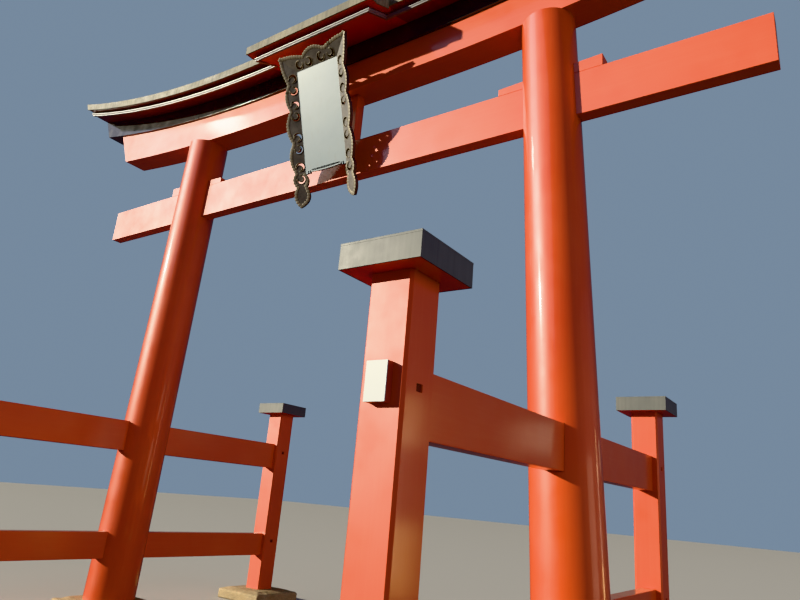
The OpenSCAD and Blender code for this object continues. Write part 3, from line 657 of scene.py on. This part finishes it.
def sweep_side(shape, outline, side, x_from):
    # Runs an outline of (y, z, rise) along one half of the roof to its end
    ends = [end_x(z, rise) for y, z, rise in outline]
    last = min(ends) - STATION_GAP
    stations = []
    for step in range(STATIONS + 1):
        stations.append([x_from + (last - x_from) * step / STATIONS] * len(outline))
    rings = []
    for station in stations + [ends]:
        places = [(side * x, y, z + rise * sori(x)) for x, (y, z, rise) in zip(station, outline)]
        rings.append([shape.verts.new(place) for place in places])
    join_rings(shape, rings)


def moulding_metal(name):
    # Dull and slightly dented, with darker streaks that run down
    finish, tree, skin = start_finish(name, 0.38, metallic=0.2)
    tone = mottled(tree, STRIP_TONES, 4.0, 5.0)
    streaks = remap(tree, clouds(tree, 2.0, 4.0, (9, 9, 0.8)), 0.52, 0.75, 0.0, 0.4)
    tree.links.new(blend(tree, streaks, tone, STRIP_STREAKS), skin.inputs["Base Color"])
    uneven_gloss(tree, skin, 12.0, 0.28, 0.5)
    bump(tree, skin, [(clouds(tree, 8.0, 2.0), 0.25, 0.002)])
    return finish


def middle_moulding(back_half):
    # Out and down from the left strip in front, along the lower edge and back up to
    # the right strip, and a straight length between them behind
    bend = PORCH_REACH - MOULDING_T - BEND_GAP
    # Side, distance in front, whether mitred there, and how far down it has come
    left = [(-1, EAVE_REACH, 0, 0.0), (-1, bend, 0, PORCH_DROP), (-1, PORCH_REACH, 1, PORCH_DROP)]
    right = [(1, *stop[1:]) for stop in reversed(left)]
    shape = bmesh.new()
    rings = []
    for x_way, y, mitred, fall in left + right:
        places = [(x_way * (PORCH_HALF + out), -(y + mitred * out), EAVE_Z - fall + height)
                  for out, height in MOULDING_PROFILE]
        rings.append([shape.verts.new(place) for place in places])
    join_rings(shape, rings)
    rings = []
    for x in (-back_half, back_half):
        places = [(x, EAVE_REACH + out, EAVE_Z + height) for out, height in MOULDING_PROFILE]
        rings.append([shape.verts.new(place) for place in places])
    join_rings(shape, rings)
    return shape


strip_metal = moulding_metal("dull silver strip")
porch_lower_half = PORCH_HALF - MOULDING_T
for side, side_name in SIDES:
    shape = bmesh.new()
    for face_way in (-1, 1):
        outline = [(face_way * (EAVE_REACH + out), EAVE_Z + height, EAVE_RISE)
                   for out, height in MOULDING_PROFILE]
        sweep_side(shape, outline, side, porch_lower_half)
    eased(side_name + "_moulding_strip", shape, MOULDING_EASE,
          [strip_metal], "moulding_metal", side_name + "_moulding", steps=1)
eased("middle_moulding_strip", middle_moulding(porch_lower_half), MOULDING_EASE,
      [strip_metal], "moulding_metal", "middle_moulding", steps=1)


# Copper roof
# Sheets of copper, long since gone dull, are locked together with rolled seams
# over the boards. They turn down over the edge and close the slanted ends.
EDGE_STEP, EDGE_BOTTOM, EDGE_TOP, ROOF_RISE = 0.090, 6.405, 6.505, 0.246
COPPER_EASE, COPPER_SPECULAR = 0.002, 0.15
COPPER_TONES = ((0.285, 0.268, 0.210), (0.195, 0.188, 0.155))
COPPER_STREAKS, COPPER_SPOTS = (0.115, 0.120, 0.105), (0.17, 0.14, 0.10)
SEAM_R, SEAM_SIDES, SEAM_STEPS = 0.0045, 6, 40
SHEET_L, SHEET_ROWS, PORCH_SHEETS = 0.42, 4, 4
# Where a row starts, as a share of it, where even and odd rows have their first
# seam across, as a share of a sheet, and how far up the roof the seams go
ROW_START, EVEN_START, ODD_START, SEAMS_TOP = 0.04, 0.02, 0.5, 0.9
SEAMS_FROM_END, SEAMS_FROM_NEXT = 0.03, 0.01
SOCKET_KINDS = {float: "NodeSocketFloat", int: "NodeSocketInt", tuple: "NodeSocketVector"}


def copper(name):
    # Dull skin in two tones, with dark streaks down the slope and small spots
    finish, tree, skin = start_finish(name, 0.55)
    skin.inputs["Specular IOR Level"].default_value = COPPER_SPECULAR
    streaks = clouds(tree, 3.0, 4.0, (10, 10, 0.9))
    tone = mottled(tree, COPPER_TONES, 2.6, 5.0)
    tone = blend(tree, remap(tree, streaks, 0.46, 0.70, 0.0, 0.7), tone, COPPER_STREAKS)
    spots = remap(tree, clouds(tree, 38.0, 3.0), 0.62, 0.72, 0.0, 0.6)
    tree.links.new(blend(tree, spots, tone, COPPER_SPOTS), skin.inputs["Base Color"])
    uneven_gloss(tree, skin, 9.0, 0.42, 0.66)
    bump(tree, skin, [(clouds(tree, 3.2, 2.0), 0.35, 0.006), (clouds(tree, 70.0, 3.0), 0.25, 0.0008)])
    return finish


def tree_for(name, sizes):
    # An empty geometry tree with named sizes, a finish and its way in and out
    tree = bpy.data.node_groups.new(name, "GeometryNodeTree")
    tree.interface.new_socket("Geometry", in_out="INPUT", socket_type="NodeSocketGeometry")
    for size_name, value in sizes.items():
        kind = SOCKET_KINDS[type(value)]
        tree.interface.new_socket(size_name, in_out="INPUT", socket_type=kind).default_value = value
    tree.interface.new_socket("Finish", in_out="INPUT", socket_type="NodeSocketMaterial")
    tree.interface.new_socket("Geometry", in_out="OUTPUT", socket_type="NodeSocketGeometry")
    return tree, make_node(tree, "NodeGroupInput"), make_node(tree, "NodeGroupOutput")


def finish_tree(tree, way_in, way_out, made):
    # Ends a tree: its copies made real, smooth and given the finish
    real = make_node(tree, "GeometryNodeRealizeInstances", {0: made}).outputs[0]
    smooth = make_node(tree, "GeometryNodeSetShadeSmooth", {0: real}).outputs[0]
    inputs = {"Geometry": smooth, "Material": way_in.outputs["Finish"]}
    painted = make_node(tree, "GeometryNodeSetMaterial", inputs).outputs[0]
    tree.links.new(painted, way_out.inputs[0])
    return tree


def rolled_seams():
    # A thin rolled bead along every guide line
    tree, way_in, way_out = tree_for("rolled seams", {"Radius": SEAM_R, "Sides": SEAM_SIDES})
    line = make_node(tree, "GeometryNodeMeshToCurve", {0: way_in.outputs["Geometry"]}).outputs[0]
    inputs = {"Resolution": way_in.outputs["Sides"], "Radius": way_in.outputs["Radius"]}
    bead = make_node(tree, "GeometryNodeCurvePrimitiveCircle", inputs).outputs[0]
    made = make_node(tree, "GeometryNodeCurveToMesh", {0: line, 1: bead, "Fill Caps": True}).outputs[0]
    return finish_tree(tree, way_in, way_out, made)


def grown(name, tree, lines, finish, slot, sizes=None):
    # Grows a tree's detail on guide lines, each a list of points, as one piece
    shape = bmesh.new()
    for line in lines:
        points = [shape.verts.new(point) for point in line]
        for here, there in zip(points, points[1:]):
            shape.edges.new((here, there))
    guide = blank(name + "_guide", shape)
    grow = guide.modifiers.new("grow", "NODES")
    grow.node_group = tree
    values = dict(sizes or {}, Finish=finish)
    for item in tree.interface.items_tree:
        if item.in_out == "INPUT" and item.name in values:
            grow[item.identifier] = values[item.name]
    return set_up(name, evaluated_mesh(guide), [finish], slot)


def roof_point(x, share, way, reach):
    # From the copper edge at share 0 to the ridge at share 1
    fall = (PORCH_DROP if reach > EAVE_REACH else 0.0) * (1 - share)
    height = EDGE_TOP - fall + ROOF_RISE * share + EAVE_RISE * sori(x)
    return Vector((x, way * (reach + EDGE_STEP) * (1 - share), height))


def roof_lines(way, reach, x_low, x_high, count):
    # Seams along the roof, and short staggered seams across it
    lines = []
    for row in range(SHEET_ROWS):
        share = (row + ROW_START) / SHEET_ROWS
        upper = min(share + 1 / SHEET_ROWS, SEAMS_TOP)
        first = ODD_START if row % 2 else EVEN_START
        if row:
            stops = [x_low + (x_high - x_low) * step / SEAM_STEPS for step in range(SEAM_STEPS + 1)]
            lines.append([roof_point(x, share, way, reach) for x in stops])
        for number in range(count + 1):
            x = x_low + (x_high - x_low) * (number + first) / count
            if x < x_high - SEAMS_FROM_NEXT:
                lines.append([roof_point(x, share, way, reach), roof_point(x, upper, way, reach)])
    return lines


copper_finish = copper("weathered copper")
for part in ("left", "middle", "right"):
    eased(part + "_roof_copper", node_shape(part + "_roof"), COPPER_EASE,
          [copper_finish], "copper_sheet", part + "_roof")
eased("roof_end_copper", node_shape("roof_end_plates"), COPPER_EASE,
      [copper_finish], "copper_sheet", "roof_end_plates")

seam_tree = rolled_seams()
side_end = end_x(EDGE_BOTTOM, EAVE_RISE) - SEAMS_FROM_END
porch_end = PORCH_HALF + EDGE_STEP
side_count = round((side_end - porch_end) / SHEET_L)
for side_name, x_low, x_high in (("left", -side_end, -porch_end), ("right", porch_end, side_end)):
    lines = []
    for way in (-1, 1):
        lines += roof_lines(way, EAVE_REACH, x_low, x_high, side_count)
    grown(side_name + "_roof_seams", seam_tree, lines, copper_finish, "copper_sheet")
lines = roof_lines(-1, PORCH_REACH, -porch_end, porch_end, PORCH_SHEETS)
lines += roof_lines(1, EAVE_REACH, -porch_end, porch_end, PORCH_SHEETS)
grown("middle_roof_seams", seam_tree, lines, copper_finish, "copper_sheet")


# Ridge
# A box clad in copper runs over all three roofs. Lap joints cover the places where
# its lengths meet.
RIDGE_TOP, RIDGE_HALF, RIDGE_LENGTH = 6.821, 0.095, 0.91
LAP_DEPTH, LAPS_EACH_WAY = 0.058, 5

eased("ridge_copper", node_shape("ridge"), COPPER_EASE, [copper_finish], "copper_sheet", "ridge")
lines = []
for number in range(-LAPS_EACH_WAY, LAPS_EACH_WAY + 1):
    x = number * RIDGE_LENGTH
    top = RIDGE_TOP + EAVE_RISE * sori(x)
    foot = top - LAP_DEPTH
    over = ((-RIDGE_HALF, foot), (-RIDGE_HALF, top), (RIDGE_HALF, top), (RIDGE_HALF, foot))
    lines.append([(x, y, z) for y, z in over])
grown("ridge_laps", seam_tree, lines, copper_finish, "copper_sheet")


# Post caps
# Each post carries a square board painted dark red, covered by a folded metal
# cap with a low pyramid top and a fine lip round its upper edge.
CAP_HALF, CAP_LIP, CAP_EASE, CAP_BOARD_EASE = 0.247, 0.0008, 0.002, 0.003
CAP_TONES, CAP_DRIPS = ((0.185, 0.195, 0.190), (0.150, 0.160, 0.162)), (0.095, 0.102, 0.108)
CAP_SPECULAR = 0.15


def fine_lipped(corner):
    # The cover's lip pressed back until it only shows as a fine line
    shape = node_shape(corner + "_cap")
    low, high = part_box(corner + "_cap")
    for vertex in shape.verts:
        for axis in (0, 1):
            middle = (low[axis] + high[axis]) / 2
            away = vertex.co[axis] - middle
            if abs(away) > CAP_HALF + CAP_LIP:
                vertex.co[axis] = middle + math.copysign(CAP_HALF + CAP_LIP, away)
    return shape


def cap_metal(name):
    # Grey metal without polish, with darker drips down its sides
    finish, tree, skin = start_finish(name, 0.45)
    skin.inputs["Specular IOR Level"].default_value = CAP_SPECULAR
    drips = clouds(tree, 3.0, 4.0, (16, 16, 0.5))
    tone = mottled(tree, CAP_TONES, 2.5, 3.0, 0.3, 0.7)
    tone = blend(tree, remap(tree, drips, 0.42, 0.72, 0.0, 0.3), tone, CAP_DRIPS)
    tree.links.new(tone, skin.inputs["Base Color"])
    uneven_gloss(tree, skin, 14.0, 0.38, 0.46)
    bump(tree, skin, [(drips, 0.2, 0.0006), (clouds(tree, 90.0, 2.0), 0.15, 0.0003)])
    return finish


cap_finish = cap_metal("weathered cap metal")
for corner in CORNERS:
    eased(corner + "_cap_cover", fine_lipped(corner), CAP_EASE,
          [cap_finish], "cap_metal", corner + "_cap")
# The cap boards take the dark red that is toned up as painted light
eased("cap_board_set", node_shape("cap_boards"), CAP_BOARD_EASE,
      [lit_red_paint], "dark_red", "cap_boards")


# Plaque
# A painted board leans forward from the lintel inside a carved frame of three
# plates, weathered brown, whose scalloped rim and pierced curls stand out. The
# board is left bare.
RIM_PITCH, RIM_INSET, RIM_BEAD_R, RIM_BEAD_H = 0.034, 0.014, 0.022, 0.0025
BEAD_SIDES, BEAD_RINGS, LOBE_EDGE_MAX = 12, 8, 0.09
CURL_R, CURL_INSET, CARVING_EASE = 0.004, 0.003, 0.002
BORDER, BORDER_DEPTH, BOARD_EASE, BOARD_EASE_ANGLE = 0.014, 0.0015, 0.0015, 20
# How a face has to point to be in front, and which faces lie in one plane with it
FRONT_FACING, SAME_WAY, SAME_PLANE = -0.3, 0.9999, 1e-4
BOARD_TONES, BOARD_STAINS = ((0.19, 0.255, 0.305), (0.22, 0.28, 0.325)), (0.19, 0.22, 0.22)
BOARD_SPECULAR, PIT_SHADE = 0.25, 0.5
CARVING_TONES = ((0.076, 0.072, 0.073), (0.128, 0.120, 0.112))
WORN_CARVING_TONES = ((0.15, 0.135, 0.108), (0.22, 0.20, 0.155))


def board_paint(name):
    # Pale paint that rain has stained in soft streaks
    finish, tree, skin = start_finish(name, 0.42, coat=0.1, coat_roughness=0.25)
    skin.inputs["Specular IOR Level"].default_value = BOARD_SPECULAR
    stains = remap(tree, clouds(tree, 3.0, 5.0, (8, 8, 0.8)), 0.55, 0.8, 0.0, 0.35)
    tone = blend(tree, stains, mottled(tree, BOARD_TONES, 1.7, 4.0), BOARD_STAINS)
    tree.links.new(tone, skin.inputs["Base Color"])
    bump(tree, skin, [(clouds(tree, 6.0, 3.0), 0.2, 0.002)])
    return finish


def carved_frame_finish(name, tones):
    # Weathered skin with darker pits
    finish, tree, skin = start_finish(name, 0.55, metallic=0.35)
    pits = remap(tree, clouds(tree, 60.0, 3.0), 0.58, 0.70, 0.0, 0.6)
    pit_tone = tuple(PIT_SHADE * channel for channel in tones[0])
    tone = blend(tree, pits, mottled(tree, tones, 7.0, 5.0), pit_tone)
    tree.links.new(tone, skin.inputs["Base Color"])
    bump(tree, skin, [(clouds(tree, 30.0, 4.0), 0.5, 0.002)])
    return finish


def rim_beads():
    # Flattened beads at an even pitch along the guide line, all turned one way
    sizes = {"Pitch": RIM_PITCH, "Turn": (0.0, 0.0, 0.0), "Bead": (1.0, 1.0, 1.0)}
    tree, way_in, way_out = tree_for("rim beads", sizes)
    line = make_node(tree, "GeometryNodeMeshToCurve", {0: way_in.outputs["Geometry"]}).outputs[0]
    points = make_node(tree, "GeometryNodeCurveToPoints",
                       {"Curve": line, "Length": way_in.outputs["Pitch"]}, mode="LENGTH").outputs[0]
    ball = make_node(tree, "GeometryNodeMeshUVSphere",
                     {"Segments": BEAD_SIDES, "Rings": BEAD_RINGS, "Radius": 1.0}).outputs[0]
    beads = make_node(tree, "GeometryNodeInstanceOnPoints",
                      {"Points": points, "Instance": ball, "Rotation": way_in.outputs["Turn"],
                       "Scale": way_in.outputs["Bead"]}).outputs[0]
    return finish_tree(tree, way_in, way_out, beads)


def front_face(shape):
    # The largest of the faces that look to the front
    facing = [face for face in shape.faces if face.normal.y < FRONT_FACING]
    return max(facing, key=lambda face: face.calc_area())


def front_outlines(shape):
    # Closed outlines of a plate's front, the longest first, and the front's normal
    front = front_face(shape)
    normal, level_of = front.normal.copy(), front.normal.dot(front.verts[0].co)
    region = [face for face in shape.faces if face.normal.dot(normal) > SAME_WAY
              and abs(normal.dot(face.verts[0].co) - level_of) < SAME_PLANE]
    inside = set(region)
    following = {}
    for face in region:
        for corner in face.loops:
            if any(other not in inside for other in corner.edge.link_faces):
                following[corner.vert] = corner.link_loop_next.vert
    outlines = []
    while following:
        start = next(iter(following))
        chain = [start]
        while following.get(chain[-1]) not in (None, start):
            chain.append(following.pop(chain[-1]))
        following.pop(chain[-1], None)
        outlines.append([vertex.co.copy() for vertex in chain])
    outlines.sort(key=lambda line: -sum((a - b).length for a, b in zip(line, line[1:] + line[:1])))
    return outlines, normal


def moved_in(line, normal, inset):
    # The closed outline moved towards the inside of its face
    moved = []
    for number, here in enumerate(line):
        before, after = line[number - 1], line[(number + 1) % len(line)]
        inward = normal.cross(after - here).normalized() + normal.cross(here - before).normalized()
        moved.append(here + inward.normalized() * inset)
    return moved


def lobe_lines(outline, rim):
    # The stretches of the rim that run along the lobes, where edges are short
    stretches = []
    for number, here in enumerate(outline):
        there = (number + 1) % len(rim)
        if (outline[there] - here).length < LOBE_EDGE_MAX:
            if stretches and stretches[-1][-1] == rim[number]:
                stretches[-1].append(rim[there])
            else:
                stretches.append([rim[number], rim[there]])
    return stretches


frame_finish = carved_frame_finish("weathered carving", CARVING_TONES)
frame_worn = carved_frame_finish("worn carving", WORN_CARVING_TONES)
bead_tree = rim_beads()
for plate in ("plaque_top_frame", "plaque_left_frame", "plaque_right_frame"):
    shape = node_shape(plate)
    outlines, normal = front_outlines(shape)
    eased(plate + "_carving", shape, CARVING_EASE, [frame_finish, frame_worn], "plaque_bronze", plate)
    scallops = lobe_lines(outlines[0], moved_in(outlines[0], normal, RIM_INSET))
    turn = tuple(normal.to_track_quat("Z", "Y").to_euler())
    sizes = {"Turn": turn, "Bead": (RIM_BEAD_R, RIM_BEAD_R, RIM_BEAD_H)}
    grown(plate + "_rim", bead_tree, scallops, frame_worn, "plaque_bronze", sizes)
    curls = [moved_in(outline, normal, CURL_INSET) for outline in outlines[1:]]
    curls = [curl + curl[:1] for curl in curls]
    grown(plate + "_curls", seam_tree, curls, frame_worn, "plaque_bronze", {"Radius": CURL_R})

shape = node_shape("plaque_board")
field = front_face(shape)
bmesh.ops.inset_region(shape, faces=[field], thickness=BORDER, depth=0.0)
for vertex in field.verts:
    vertex.co -= field.normal * BORDER_DEPTH
eased("plaque_board_panel", shape, BOARD_EASE, [board_paint("pale blue board paint")],
      "plaque_face", "plaque_board", angle=BOARD_EASE_ANGLE)
eased("plaque_stays", node_shape("plaque_brackets"), CARVING_EASE,
      [frame_finish], "plaque_bronze", "plaque_brackets")


# Small box
# A shallow box screwed to the front of the right front post, with red painted sides
# and a cream front plate.
CASE_EASE, PLATE_EASE = 0.004, 0.0015
CASE_TONES = ((0.26, 0.05, 0.036), (0.30, 0.065, 0.048))
PLATE_TONES = ((0.39, 0.43, 0.46), (0.43, 0.47, 0.50))


def box_paint(name, tones):
    finish, tree, skin = start_finish(name, 0.4, coat=0.3, coat_roughness=0.2)
    tree.links.new(mottled(tree, tones, 9.0, 4.0), skin.inputs["Base Color"])
    bump(tree, skin, [(clouds(tree, 150.0, 2.0), 0.15, 0.0004)])
    return finish


eased("small_box_case", node_shape("small_box"), CASE_EASE,
      [box_paint("red box paint", CASE_TONES)], "box_red", "small_box", steps=3)
eased("small_box_front", node_shape("small_box_plate"), PLATE_EASE,
      [box_paint("cream box paint", PLATE_TONES)], "box_cream", "small_box_plate", steps=3)
